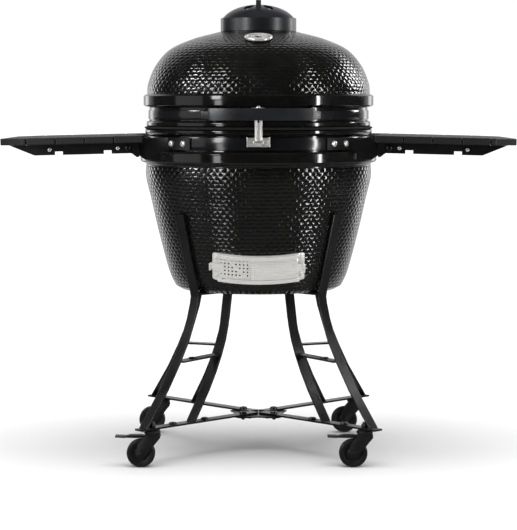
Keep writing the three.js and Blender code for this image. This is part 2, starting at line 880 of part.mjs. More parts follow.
addPart("hub_plate", hubPlate(), ...steelBlack);
["rear_right", "rear_left", "front_left", "front_right"].forEach((corner, quarter) => {
  addPart(`leg_outer_${corner}`, atLeg(legOuter(), quarter), ...steelBlack);
  addPart(`leg_inner_${corner}`, atLeg(legInner(quarter > 1), quarter), ...steelBlack);
  addPart(`arm_${corner}`, atLeg(arm(quarter > 1), quarter), ...steelBlack);
  const spot = stemSpot(quarter);
  addPart(`fork_${corner}`, casterFork().translate(spot), 0x141516, 0.5, 0.3);
  addPart(`wheel_${corner}`, casterWheel().translate(spot), 0x121212, 0.6, 0);
  if (quarter > 1) {
    addPart(`brake_${corner}`, brakeLever().translate(spot), 0x141516, 0.5, 0.1);
  }
});

export default grill;
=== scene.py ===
import json
import math

import bpy
from mathutils import Matrix, Vector

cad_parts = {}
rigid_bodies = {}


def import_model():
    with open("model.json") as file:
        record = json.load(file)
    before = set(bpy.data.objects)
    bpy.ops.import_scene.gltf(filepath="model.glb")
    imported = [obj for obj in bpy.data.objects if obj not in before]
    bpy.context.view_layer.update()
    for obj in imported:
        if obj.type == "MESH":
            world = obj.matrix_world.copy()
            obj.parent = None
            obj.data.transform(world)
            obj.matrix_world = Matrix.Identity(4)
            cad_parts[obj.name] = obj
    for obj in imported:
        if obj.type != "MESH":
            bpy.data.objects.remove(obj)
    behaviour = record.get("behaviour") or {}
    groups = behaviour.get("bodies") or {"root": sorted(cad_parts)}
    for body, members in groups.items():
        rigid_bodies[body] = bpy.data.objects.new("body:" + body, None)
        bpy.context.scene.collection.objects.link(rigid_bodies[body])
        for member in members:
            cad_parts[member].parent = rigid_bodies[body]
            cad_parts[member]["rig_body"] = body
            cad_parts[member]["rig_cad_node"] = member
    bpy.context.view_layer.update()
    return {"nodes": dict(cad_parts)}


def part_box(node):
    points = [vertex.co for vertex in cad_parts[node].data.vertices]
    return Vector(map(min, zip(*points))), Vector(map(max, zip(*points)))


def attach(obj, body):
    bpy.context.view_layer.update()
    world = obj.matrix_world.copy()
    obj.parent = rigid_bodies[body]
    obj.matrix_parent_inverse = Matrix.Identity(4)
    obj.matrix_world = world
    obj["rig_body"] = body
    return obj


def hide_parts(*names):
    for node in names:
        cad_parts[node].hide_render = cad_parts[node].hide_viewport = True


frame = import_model()

corners = ["rear_right", "rear_left", "front_left", "front_right"]


def deselectAll():
    if bpy.context.mode != "OBJECT":
        bpy.ops.object.mode_set(mode="OBJECT")
    bpy.ops.object.select_all(action="DESELECT")


def makeActive(piece):
    deselectAll()
    piece.select_set(True)
    bpy.context.view_layer.objects.active = piece


def editPiece(piece, kind="FACE"):
    makeActive(piece)
    bpy.ops.object.mode_set(mode="EDIT")
    bpy.ops.mesh.select_mode(type=kind)
    bpy.ops.mesh.select_all(action="DESELECT")


def chooseFaces(piece, test):
    # picks faces by centre and normal, then goes back to edit mode
    bpy.ops.object.mode_set(mode="OBJECT")
    for face in piece.data.polygons:
        face.select = test(face.center, face.normal)
    bpy.ops.object.mode_set(mode="EDIT")


def chooseVerts(piece, test):
    bpy.ops.mesh.select_mode(type="VERT")
    bpy.ops.object.mode_set(mode="OBJECT")
    for part in (piece.data.polygons, piece.data.edges):
        for item in part:
            item.select = False
    for vert in piece.data.vertices:
        vert.select = test(vert.co)
    bpy.ops.object.mode_set(mode="EDIT")


def applyModifiers(piece):
    makeActive(piece)
    for modifier in list(piece.modifiers):
        bpy.ops.object.modifier_apply(modifier=modifier.name)


def placePiece(piece, turn=(0, 0, 0), spot=(0, 0, 0)):
    makeActive(piece)
    piece.rotation_euler = [math.radians(angle) for angle in turn]
    piece.location = spot
    bpy.ops.object.transform_apply(location=True, rotation=True, scale=True)


def startPiece(name, adder, **settings):
    deselectAll()
    adder(**settings)
    piece = bpy.context.active_object
    piece.name = name
    piece.data.name = name
    return piece


def softenEdges(piece, width, segments=2, angle=30):
    bevel = piece.modifiers.new("soften", "BEVEL")
    bevel.width = width
    bevel.segments = segments
    bevel.limit_method = "ANGLE"
    bevel.angle_limit = math.radians(angle)
    bevel.use_clamp_overlap = True
    bevel.harden_normals = False
    applyModifiers(piece)


def smoothPiece(piece, angle=35):
    makeActive(piece)
    bpy.ops.object.shade_smooth_by_angle(angle=math.radians(angle))


def finishPiece(piece, body, material, stands=(), angle=35):
    smoothPiece(piece, angle)
    if material:
        piece.data.materials.clear()
        piece.data.materials.append(material)
    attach(piece, body)
    if stands:
        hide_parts(*stands)
    return piece


def turnedPiece(name, outline, steps=96, start=0, sweep=360):
    # an outline of (radius, height) points spun round Z; start and sweep run from the front
    piece = startPiece(name, bpy.ops.mesh.primitive_plane_add, size=0.002)
    editPiece(piece, "VERT")
    bpy.ops.mesh.select_all(action="SELECT")
    bpy.ops.mesh.merge(type="CENTER")
    bpy.ops.mesh.select_all(action="SELECT")
    angle = math.radians(start - 90)
    way = Vector((math.cos(angle), math.sin(angle), 0))
    spots = [way * r + Vector((0, 0, z)) for r, z in outline]
    bpy.ops.transform.translate(value=spots[0])
    for here, after in zip(spots, spots[1:]):
        bpy.ops.mesh.extrude_region_move(TRANSFORM_OT_translate={"value": after - here})
    bpy.ops.mesh.select_all(action="SELECT")
    bpy.ops.mesh.remove_doubles(threshold=1e-6)
    bpy.ops.mesh.select_all(action="SELECT")
    bpy.ops.mesh.spin(steps=steps, angle=math.radians(sweep), center=(0, 0, 0), axis=(0, 0, -1))
    bpy.ops.mesh.select_all(action="SELECT")
    bpy.ops.mesh.remove_doubles(threshold=1e-6)
    if sweep < 360:
        bpy.ops.mesh.select_all(action="SELECT")
        bpy.ops.mesh.fill_holes(sides=0)
    bpy.ops.mesh.select_all(action="SELECT")
    bpy.ops.mesh.normals_make_consistent(inside=False)
    deselectAll()
    return piece


def cutPiece(piece, cutter):
    boolean = piece.modifiers.new("cut", "BOOLEAN")
    boolean.operation = "DIFFERENCE"
    boolean.solver = "EXACT"
    boolean.object = cutter
    applyModifiers(piece)
    bpy.data.objects.remove(cutter)


def cutterBox(low, high):
    low, high = Vector(low), Vector(high)
    middle = (low + high) / 2
    cutter = startPiece("cutter", bpy.ops.mesh.primitive_cube_add, size=1, location=middle)
    cutter.scale = high - low
    makeActive(cutter)
    bpy.ops.object.transform_apply(location=True, rotation=True, scale=True)
    return cutter


def smoothLine(points, steps):
    # a smooth curve through the points, evenly split between them
    count = len(points) - 1
    line = []
    for i in range(steps + 1):
        place = i * count / steps
        at = min(int(place), count - 1)
        t = place - at
        p0 = points[max(at - 1, 0)]
        p1 = points[at]
        p2 = points[at + 1]
        p3 = points[min(at + 2, count)]
        spot = []
        for a, b, c, d in zip(p0, p1, p2, p3):
            v0, v1 = (c - a) / 2, (d - b) / 2
            cubic = 2 * b - 2 * c + v0 + v1
            square = 3 * c - 3 * b - 2 * v0 - v1
            spot.append(cubic * t**3 + square * t**2 + v0 * t + b)
        line.append(tuple(spot))
    return line


def fineCopy(node, name, width, segments=2, flat=4):
    # a copy of a CAD node with its loose triangles merged and its edges rounded
    source = frame["nodes"][node]
    piece = source.copy()
    piece.data = source.data.copy()
    piece.name = name
    piece.data.name = name
    piece.parent = None
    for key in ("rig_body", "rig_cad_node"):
        del piece[key]
    bpy.context.scene.collection.objects.link(piece)
    editPiece(piece, "VERT")
    bpy.ops.mesh.select_all(action="SELECT")
    bpy.ops.mesh.remove_doubles(threshold=2e-6)
    bpy.ops.mesh.customdata_custom_splitnormals_clear()
    bpy.ops.mesh.select_all(action="SELECT")
    bpy.ops.mesh.dissolve_limited(angle_limit=math.radians(flat))
    deselectAll()
    if width:
        softenEdges(piece, width, segments)
    return piece


def copyPiece(piece, name, matrix):
    twin = piece.copy()
    twin.data = piece.data.copy()
    twin.name = name
    twin.data.name = name
    bpy.context.scene.collection.objects.link(twin)
    makeActive(twin)
    twin.matrix_world = matrix
    bpy.ops.object.transform_apply(location=True, rotation=True, scale=True)
    return twin


def facing(spot, normal):
    # a matrix that carries +Z onto the normal, at the spot
    return Matrix.Translation(spot) @ Vector(normal).to_track_quat("Z", "Y").to_matrix().to_4x4()


def around(radius, angle, height):
    # a point on a circle about Z; the angle runs from the front toward +X
    turn = math.radians(angle)
    return Vector((radius * math.sin(turn), -radius * math.cos(turn), height))


def newMaterial(name, colour, roughness, metal=0.0):
    material = bpy.data.materials.new(name)
    material.use_nodes = True
    shader = material.node_tree.nodes["Principled BSDF"]
    shader.inputs["Base Color"].default_value = (*colour, 1)
    shader.inputs["Roughness"].default_value = roughness
    shader.inputs["Metallic"].default_value = metal
    return material, shader


def addNode(material, kind, **values):
    node = material.node_tree.nodes.new(kind)
    for key, value in values.items():
        if key[0].isupper():
            node.inputs[key.replace("_", " ")].default_value = value
        else:
            setattr(node, key, value)
    return node


def joinNodes(material, *pairs):
    for out, into in pairs:
        material.node_tree.links.new(out, into)


def objectPlace(material, stretch=(1, 1, 1)):
    coordinate = addNode(material, "ShaderNodeTexCoord")
    mapping = addNode(material, "ShaderNodeMapping", Scale=stretch)
    joinNodes(material, (coordinate.outputs["Object"], mapping.inputs["Vector"]))
    return mapping.outputs["Vector"]


def addMottle(material, shader, place, scale, dark, light, low, high, detail=4):
    # colour and roughness drift slowly over the surface
    noise = addNode(material, "ShaderNodeTexNoise", Scale=scale, Detail=detail)
    ramp = addNode(material, "ShaderNodeValToRGB")
    ramp.color_ramp.elements[0].position = 0.3
    ramp.color_ramp.elements[1].position = 0.7
    ramp.color_ramp.elements[0].color = (*dark, 1)
    ramp.color_ramp.elements[1].color = (*light, 1)
    spread = addNode(material, "ShaderNodeMapRange", From_Min=0.25, From_Max=0.75, To_Min=low, To_Max=high)
    joinNodes(
        material,
        (place, noise.inputs["Vector"]),
        (noise.outputs["Fac"], ramp.inputs["Fac"]),
        (ramp.outputs["Color"], shader.inputs["Base Color"]),
        (noise.outputs["Fac"], spread.inputs["Value"]),
        (spread.outputs["Result"], shader.inputs["Roughness"]),
    )


def addBump(material, shader, height, distance, strength=1.0):
    bump = addNode(material, "ShaderNodeBump", Strength=strength, Distance=distance)
    joinNodes(material, (height, bump.inputs["Height"]), (bump.outputs["Normal"], shader.inputs["Normal"]))


def noiseHeight(material, place, scale, detail=3):
    noise = addNode(material, "ShaderNodeTexNoise", Scale=scale, Detail=detail)
    joinNodes(material, (place, noise.inputs["Vector"]))
    return noise.outputs["Fac"]


glazeLook = {
    "around": 80,  # cells round the bowl
    "pitch": 0.0209,  # two rows of cells, metres
    "depth": 0.0011,
    "wander": (0.50, 0.28),  # how far cells stray, in cells
    "bowlTop": 0.787,  # the cells stop here on the bowl
    "lidLow": 0.9815,  # and start here on the lid
}


def glazeMaterial(look):
    material, shader = newMaterial("glazeBlack", (0.005, 0.005, 0.0045), 0.1)
    place = objectPlace(material)
    addMottle(material, shader, place, 30, (0.0036, 0.0036, 0.0032), (0.0068, 0.0066, 0.0060), 0.06, 0.14)
    cellPlace = addNode(material, "ShaderNodeUVMap", uv_map="cellPlace")
    stray = addNode(material, "ShaderNodeTexNoise", Scale=55, Detail=2)
    centred = addNode(material, "ShaderNodeVectorMath", operation="SUBTRACT")
    centred.inputs[1].default_value = (0.5, 0.5, 0.5)
    moved = addNode(material, "ShaderNodeVectorMath", operation="MULTIPLY_ADD")
    moved.inputs[1].default_value = (*look["wander"], 0)
    split = addNode(material, "ShaderNodeSeparateXYZ")
    joinNodes(
        material,
        (place, stray.inputs["Vector"]),
        (stray.outputs["Color"], centred.inputs[0]),
        (centred.outputs["Vector"], moved.inputs[0]),
        (cellPlace.outputs["UV"], moved.inputs[2]),
        (moved.outputs["Vector"], split.inputs["Vector"]),
    )

    def mathNode(operation, first, second=None):
        node = addNode(material, "ShaderNodeMath", operation=operation)
        for socket, value in zip(node.inputs, (first, second)):
            if isinstance(value, (int, float)):
                socket.default_value = value
            elif value is not None:
                joinNodes(material, (value, socket))
        return node.outputs["Value"]

    row = mathNode("FLOOR", mathNode("ADD", mathNode("MULTIPLY", split.outputs["Y"], 2), 0.5))
    shifted = mathNode("ADD", split.outputs["X"], mathNode("MULTIPLY", row, 0.5))
    wide = mathNode("ABSOLUTE", mathNode("COSINE", mathNode("MULTIPLY", shifted, math.pi)))
    tall = mathNode("ABSOLUTE", mathNode("COSINE", mathNode("MULTIPLY", split.outputs["Y"], 2 * math.pi)))
    cell = mathNode("POWER", mathNode("MULTIPLY", wide, tall), 0.7)
    spotZ = addNode(material, "ShaderNodeSeparateXYZ")
    joinNodes(material, (place, spotZ.inputs["Vector"]))
    onBowl = mathNode("LESS_THAN", spotZ.outputs["Z"], look["bowlTop"])
    onLid = mathNode("GREATER_THAN", spotZ.outputs["Z"], look["lidLow"])
    addBump(material, shader, mathNode("MULTIPLY", cell, mathNode("ADD", onBowl, onLid)), look["depth"])
    return material


def bareCeramicMaterial():
    material, shader = newMaterial("bareCeramic", (0.5, 0.42, 0.33), 0.85)
    place = objectPlace(material)
    addMottle(material, shader, place, 22, (0.40, 0.33, 0.25), (0.56, 0.48, 0.38), 0.78, 0.95, 6)
    addBump(material, shader, noiseHeight(material, place, 500), 0.0004)
    return material


def coatMaterial(name, dark, light, low, high, grain=900, depth=0.00005, metal=0.0):
    material, shader = newMaterial(name, light, (low + high) / 2, metal)
    place = objectPlace(material)
    addMottle(material, shader, place, 14, dark, light, low, high)
    addBump(material, shader, noiseHeight(material, place, grain), depth)
    return material


def brushedMaterial(name, dark, light, low, high, along, depth=0.00004, metal=1.0):
    # along is how much finer the lines are on each axis
    material, shader = newMaterial(name, light, (low + high) / 2, metal)
    shader.inputs["Anisotropic"].default_value = 0.35
    place = objectPlace(material, along)
    addMottle(material, shader, place, 3, dark, light, low, high, 6)
    addBump(material, shader, noiseHeight(material, place, 9, 5), depth, 0.6)
    return material


def feltMaterial():
    material, shader = newMaterial("felt", (0.007, 0.007, 0.0065), 0.9)
    place = objectPlace(material)
    addMottle(material, shader, place, 90, (0.004, 0.004, 0.0036), (0.012, 0.0115, 0.0105), 0.85, 1.0)
    waves = addNode(material, "ShaderNodeTexVoronoi", Scale=420)
    joinNodes(material, (place, waves.inputs["Vector"]))
    addBump(material, shader, waves.outputs["Distance"], 0.0005)
    return material


boardLook = {
    "dark": (0.0042, 0.0042, 0.0046),
    "light": (0.0095, 0.0095, 0.0102),
    "grain": 0.00022,  # depth of the wood's lines, metres
}


def boardMaterial(look):
    material, shader = newMaterial("boardCharcoal", look["light"], 0.5)
    place = objectPlace(material, (60, 3, 60))
    addMottle(material, shader, place, 4, look["dark"], look["light"], 0.42, 0.62, 7)
    addBump(material, shader, noiseHeight(material, place, 6, 6), look["grain"])
    return material


def glassMaterial():
    material, shader = newMaterial("dialGlass", (1, 1, 1), 0.03)
    shader.inputs["Transmission Weight"].default_value = 1.0
    shader.inputs["IOR"].default_value = 1.2
    place = objectPlace(material)
    addBump(material, shader, noiseHeight(material, place, 60), 0.00002)
    return material


glaze = glazeMaterial(glazeLook)
bareCeramic = bareCeramicMaterial()
# each coat: its darkest and lightest colour, its roughness from and to, then grain and depth of bump
bandCoat = coatMaterial(
    "bandCoat", (0.0060, 0.0065, 0.0080), (0.0090, 0.0098, 0.0115), 0.10, 0.18, 300, 0.00002
)
handleCoat = coatMaterial("handleCoat", (0.010, 0.011, 0.014), (0.015, 0.016, 0.020), 0.24, 0.34, 1200, 0.00004)
blackCoat = coatMaterial(
    "blackCoat", (0.0042, 0.0044, 0.0044), (0.0070, 0.0073, 0.0073), 0.24, 0.34, 1400, 0.00004
)
ventCoat = coatMaterial("ventCoat", (0.011, 0.012, 0.015), (0.017, 0.019, 0.023), 0.27, 0.38, 700, 0.00006)
plasticBlack = coatMaterial(
    "plasticBlack", (0.0045, 0.0045, 0.0045), (0.0080, 0.0080, 0.0080), 0.40, 0.55, 1100, 0.00005
)
castIron = coatMaterial("castIron", (0.030, 0.028, 0.026), (0.055, 0.050, 0.046), 0.7, 0.9, 320, 0.0004, 0.4)
doorSteel = brushedMaterial(
    "doorSteel", (0.74, 0.73, 0.70), (0.86, 0.85, 0.82), 0.24, 0.34, (4, 4, 160), 0.000015, 0.30
)
rodSteel = brushedMaterial("rodSteel", (0.50, 0.50, 0.49), (0.66, 0.66, 0.64), 0.22, 0.34, (80, 80, 6))
brightSteel = brushedMaterial(
    "brightSteel", (0.78, 0.77, 0.74), (0.90, 0.89, 0.86), 0.14, 0.24, (40, 40, 40), 0.00002, 0.6
)
felt = feltMaterial()
board = boardMaterial(boardLook)
dialWhite = coatMaterial("dialWhite", (0.72, 0.72, 0.70), (0.82, 0.82, 0.80), 0.35, 0.45)
dialBlack = coatMaterial("dialBlack", (0.015, 0.015, 0.015), (0.03, 0.03, 0.03), 0.4, 0.5)
dialGlass = glassMaterial()
print("materials made")


bowlLow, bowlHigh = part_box("bowl")
lidLow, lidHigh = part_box("lid_shell")
wall = 0.026

bowlShape = {
    "steps": 192,
    "foot": 0.212,
    "side": [(0.228, 0.458), (0.246, 0.498), (0.274, 0.603), (0.295, 0.695), (0.309, 0.755), (0.308, 0.789)],
    "inside": [(0.277, 0.829), (0.282, 0.755), (0.268, 0.692), (0.248, 0.603), (0.221, 0.505), (0.208, 0.4748)],
    "seat": 0.300,
    "lip": 0.311,
}


def makeBowl(shape):
    ridge = bowlHigh.x
    seat, lip = shape["seat"], shape["lip"]
    outline = [(0, bowlLow.z), (shape["foot"], bowlLow.z)]
    outline += smoothLine(shape["side"], 36)
    outline += [(lip, 0.7935), (ridge - 0.003, 0.7965), (ridge, 0.801), (ridge, 0.823), (ridge - 0.003, 0.827)]
    outline += [(seat, 0.829), (seat, 0.869), (0.308, 0.873), (lip, 0.877), (lip, 0.883), (0.308, bowlHigh.z)]
    outline += [(0.283, bowlHigh.z)] + smoothLine(shape["inside"], 20) + [(0, bowlLow.z + wall)]
    bowl = turnedPiece("bowl_glazed", outline, shape["steps"])
    cutPiece(bowl, cutterBox((-0.097, -0.30, 0.492), (-0.027, -0.12, 0.537)))
    softenEdges(bowl, 0.0012, 3, 28)
    layCells(bowl, smoothLine(shape["side"], 36), glazeLook)
    paintInside(bowl)
    return finishPiece(bowl, "base", None, ["bowl"], 40)


def layCells(piece, line, look):
    # a UV map that counts cells round the piece, and row pairs along its side
    reaches = [0]
    for here, after in zip(line, line[1:]):
        reaches.append(reaches[-1] + math.dist(here, after))
    cellMap = piece.data.uv_layers.new(name="cellPlace")
    piece.data.uv_layers.active = cellMap
    rows = []
    for vert in piece.data.vertices:
        spot = Vector((math.hypot(vert.co.x, vert.co.y), vert.co.z))
        best = (9, 0)
        for k in range(len(line) - 1):
            here, after = Vector(line[k]), Vector(line[k + 1])
            along = after - here
            share = max(0, min(1, (spot - here).dot(along) / along.length_squared))
            off = (spot - here - along * share).length
            if off < best[0]:
                best = (off, reaches[k] + share * (reaches[k + 1] - reaches[k]))
        rows.append(best[1] / look["pitch"])
    half = look["around"] / 2
    for face in piece.data.polygons:
        first = None
        for loop in face.loop_indices:
            vert = piece.data.loops[loop].vertex_index
            spot = piece.data.vertices[vert].co
            cells = math.atan2(spot.x, -spot.y) / math.pi * half
            if first is None:
                first = cells
            if cells - first > half:
                cells -= 2 * half
            elif first - cells > half:
                cells += 2 * half
            cellMap.data[loop].uv = (cells, rows[vert])


def paintInside(piece):
    # the glaze covers the outside only; inside faces show bare ceramic
    piece.data.materials.clear()
    piece.data.materials.append(glaze)
    piece.data.materials.append(bareCeramic)
    for face in piece.data.polygons:
        centre, normal = face.center, face.normal
        outward = centre.x * normal.x + centre.y * normal.y
        reach = math.hypot(centre.x, centre.y)
        inner = outward < -0.02 * reach or (reach < 0.2 and 0.47 < centre.z < 0.49)
        face.material_index = 1 if inner and reach < 0.2845 else 0


lidShape = {
    "steps": 192,
    "dome": [(0.305, 0.981), (0.302, 1.011), (0.282, 1.058), (0.243, 1.102), (0.180, 1.131), (0.116, 1.148)],
    "inside": [(0.098, 1.126), (0.168, 1.106), (0.222, 1.079), (0.257, 1.042), (0.277, 1.000), (0.279, 0.960)],
    "seat": 0.299,
    "chimney": 0.068,
}


def gaugePlace():
    # the thermometer leans forward on the dome
    return (14, 0, 0), (0, -0.188, 1.1237)


def makeLid(shape):
    ridge = lidHigh.x
    seat, low = shape["seat"], lidLow.z
    outline = [(0.284, low), (0.305, low), (0.307, 0.896), (0.307, 0.904), (0.305, 0.907), (seat, 0.909)]
    outline += [(seat, 0.944), (0.312, 0.948), (ridge, 0.951), (ridge, 0.975), (0.312, 0.978)]
    outline += smoothLine(shape["dome"], 40)
    outline += [(0.110, lidHigh.z), (shape["chimney"], lidHigh.z), (shape["chimney"], 1.126)]
    outline += smoothLine(shape["inside"], 24) + [(0.284, low)]
    lid = turnedPiece("lid_glazed", outline, shape["steps"])
    turn, spot = gaugePlace()
    cylinder = bpy.ops.mesh.primitive_cylinder_add
    seatCut = startPiece("cutter", cylinder, vertices=64, radius=0.0385, depth=0.03, location=(0, 0, 0.0165))
    bpy.ops.object.transform_apply(location=True)
    placePiece(seatCut, turn, spot)
    cutPiece(lid, seatCut)
    softenEdges(lid, 0.0012, 3, 28)
    layCells(lid, smoothLine(shape["dome"], 40), glazeLook)
    paintInside(lid)
    return finishPiece(lid, "lid", None, ["lid_shell"], 40)


makeBowl(bowlShape)
makeLid(lidShape)
print("bowl and lid made")


bandShape = {"steps": 192, "thick": 0.0027, "lidRadius": 0.302, "lidLow": 0.912, "lidHigh": 0.937}


def bandRing(name, outer, low, high, shape):
    inner = outer - shape["thick"]
    outline = [(inner, low), (outer, low), (outer, high), (inner, high), (inner, low)]
    ring = turnedPiece(name, outline, shape["steps"])
    softenEdges(ring, 0.0007, 2)
    return ring


def makeBands(shape):
    low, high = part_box("bowl_band")
    bowlRing = bandRing("bowl_band_ring", high.x, low.z, high.z, shape)
    finishPiece(bowlRing, "base", bandCoat, ["bowl_band"])

    ears = fineCopy("lid_band", "lid_band_ears", 0.0005)
    cutPiece(ears, cutterBox((-0.4, -0.2960, 0.85), (0.4, 0.4, 0.99)))  # keeps the ears and drops the ring
    lidRing = bandRing("lid_band_ring", shape["lidRadius"], shape["lidLow"], shape["lidHigh"], shape)
    cutPiece(ears, cutterBox((-0.4, -0.3018, 0.85), (-0.018, -0.2, 0.99)))
    cutPiece(ears, cutterBox((0.018, -0.3018, 0.85), (0.4, -0.2, 0.99)))
    finishPiece(ears, "lid", blackCoat)
    finishPiece(lidRing, "lid", bandCoat, ["lid_band"])


def makeFelt():
    low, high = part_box("felt_ring")
    middle = (low.z + high.z) / 2
    outline = [(0.284, low.z), (0.309, low.z), (0.3117, middle - 0.0016), (high.x, middle)]
    outline += [(0.3117, middle + 0.0016), (0.309, high.z), (0.284, high.z), (0.284, low.z)]
    gasket = turnedPiece("felt_gasket", outline, 160)
    softenEdges(gasket, 0.0006, 2)
    finishPiece(gasket, "base", felt, ["felt_ring"])


makeBands(bandShape)
makeFelt()
print("bands made")


handleShape = {
    "half": 23.5,  # degrees to each side of the handle's centre
    "centre": 1.5,
    "thick": 0.004,
    "shrink": 0.8,
    "footLow": 0.9145,
    "footHigh": 0.9345,
}


def makeHandle(shape):
    low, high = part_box("lid_handle")
    outer = -low.y
    inner = outer - shape["thick"]
    outline = [(inner, low.z), (outer, low.z), (outer, high.z), (inner, high.z), (inner, low.z)]
    grip = turnedPiece("lid_handle_grip", outline, 40, -shape["half"], 2 * shape["half"])
    for side in (-1, 1):
        edge = around(outer - 0.002, side * shape["half"], 0)
        foot = around(0.3065, side * (shape["half"] + 3.4), 0)
        editPiece(grip)
        tangent = around(1, side * (shape["half"] + 90), 0)
        chooseFaces(grip, lambda c, n: (Vector((c.x, c.y, 0)) - edge).length < 0.003 and abs(n.dot(tangent)) > 0.9)
        knee = (foot - edge) * 0.12
        bpy.ops.mesh.extrude_region_move(TRANSFORM_OT_translate={"value": knee})
        bpy.ops.transform.resize(value=(1, 1, shape["shrink"]))
        bpy.ops.mesh.extrude_region_move(TRANSFORM_OT_translate={"value": foot - edge - knee})
        deselectAll()
    editPiece(grip)
    bpy.ops.mesh.select_all(action="SELECT")
    bpy.ops.mesh.normals_make_consistent(inside=False)
    deselectAll()
    softenEdges(grip, 0.0012, 3, 40)
    placePiece(grip, (0, 0, shape["centre"]))
    finishPiece(grip, "lid", handleCoat, ["lid_handle"])
    for side in (-1, 1):
        start = shape["centre"] + side * (shape["half"] + 2.6) + (0 if side > 0 else -5)
        low, high = shape["footLow"], shape["footHigh"]
        outline = [(0.3024, low), (0.3055, low), (0.3055, high), (0.3024, high), (0.3024, low)]
        foot = turnedPiece(f"handle_foot_{'right' if side > 0 else 'left'}", outline, 10, start, 5)
        softenEdges(foot, 0.0008, 2)
        finishPiece(foot, "lid", handleCoat)


makeHandle(handleShape)
print("handle made")


ventLow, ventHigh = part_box("vent_base")
ventShape = {
    "steps": 128,
    "deck": 1.188,
    "cap": 0.098,
    "capTop": 1.225,
    "petals": 6,
    "petalSpot": 0.051,
    "petalSize": (0.0118, 0.0225, 1),
    "finSize": (0.0145, 0.1700, 0.042),
    "finHeight": 1.2140,
}


def petalCutters(low, high, first):
    # six leaf-shaped cutters round the middle
    cylinder = bpy.ops.mesh.primitive_cylinder_add
    leaf = startPiece("petal", cylinder, vertices=28, radius=1, depth=high - low, location=(0, 0, 0))
    leaf.scale = ventShape["petalSize"]
    bpy.ops.object.transform_apply(scale=True)
    editPiece(leaf, "VERT")
    chooseVerts(leaf, lambda v: v.y > 0.012)
    bpy.ops.transform.resize(value=(0.55, 1, 1), center_override=(0, 0, 0))
    chooseVerts(leaf, lambda v: v.y > 0.0185)
    bpy.ops.transform.resize(value=(0.4, 1.06, 1), center_override=(0, 0, 0))
    deselectAll()
    cutters = []
    for i in range(ventShape["petals"]):
        turn = Matrix.Rotation(math.radians(first + i * 360 / ventShape["petals"]), 4, "Z")
        place = turn @ Matrix.Translation((0, -ventShape["petalSpot"], (low + high) / 2))
        cutters.append(copyPiece(leaf, f"petal_{i}", place))
    bpy.data.objects.remove(leaf)
    return cutters


def domeLine(radius, low, high, steps=18):
    # points down a shallow dome, from its crown to its edge
    flat = math.sqrt(1 - 0.94**2)
    line = []
    for i in range(steps + 1):
        share = i / steps
        lift = (math.sqrt(1 - (0.94 * share) ** 2) - flat) / (1 - flat)
        line.append((radius * share, low + (high - low) * lift))
    return line


def makeVent(shape):
    deck, outer = shape["deck"], ventHigh.x
    outline = domeLine(0.086, deck - 0.008, deck + 0.021) + [(0.092, deck - 0.008)]
    outline += [(0.092, ventLow.z + 0.003), (0.074, ventLow.z), (outer - 0.0012, ventLow.z)]
    outline += [(outer, ventLow.z + 0.0015), (outer, deck - 0.002), (outer - 0.002, deck)]
    outline += [(0.0995, deck), (0.0985, deck - 0.003)]
    outline += domeLine(0.090, deck - 0.004, deck + 0.025)[1:][::-1]
    outline += [(0.008, deck + 0.0248), (0.008, ventHigh.z), (0, ventHigh.z)]
    base = turnedPiece("vent_drum", outline, shape["steps"])
    for cutter in petalCutters(deck - 0.02, deck + 0.03, 0):
        cutPiece(base, cutter)
    softenEdges(base, 0.0008, 2, 40)
    finishPiece(base, "lid", ventCoat, ["vent_base"])

    top = domeLine(shape["cap"], deck - 0.001, shape["capTop"])
    under = domeLine(shape["cap"] - 0.004, deck - 0.0027, shape["capTop"] - 0.0047)
    outline = top + [(shape["cap"], deck - 0.0027)] + under[:0:-1]
    outline += [(0.0084, 1.2136), (0.0084, 1.217), (0, 1.217)]
    cap = turnedPiece("vent_cap_dome", outline, shape["steps"])
    for cutter in petalCutters(deck + 0.003, shape["capTop"] + 0.006, 30):
        cutPiece(cap, cutter)
    softenEdges(cap, 0.0007, 2, 40)
    finishPiece(cap, "vent_cap", ventCoat, ["vent_cap"])

    fin = startPiece("vent_cap_fin", bpy.ops.mesh.primitive_cube_add, size=1, location=(0, 0, shape["finHeight"]))
    fin.scale = shape["finSize"]
    bpy.ops.object.transform_apply(scale=True, location=True)
    editPiece(fin, "VERT")
    chooseVerts(fin, lambda v: v.z > 1.22)
    bpy.ops.transform.resize(value=(0.94, 0.74, 1), center_override=(0, 0, 1.2350))
    deselectAll()
    cutPiece(fin, solidUnder(top))
    softenEdges(fin, 0.0018, 3, 30)
    finishPiece(fin, "vent_cap", ventCoat)


def solidUnder(top):
    # the solid under the cap's skin, which seats the fin on the dome
    inner = [(r * 0.985, z - 0.0008) for r, z in top]
    return turnedPiece("cutter", inner + [(inner[-1][0], 1.17), (0, 1.17)], 64)


makeVent(ventShape)
print("vent made")


gaugeShape = {"steps": 72, "rim": 0.0375, "foot": 0.003, "top": 0.011, "face": 0.031, "ticks": 12}


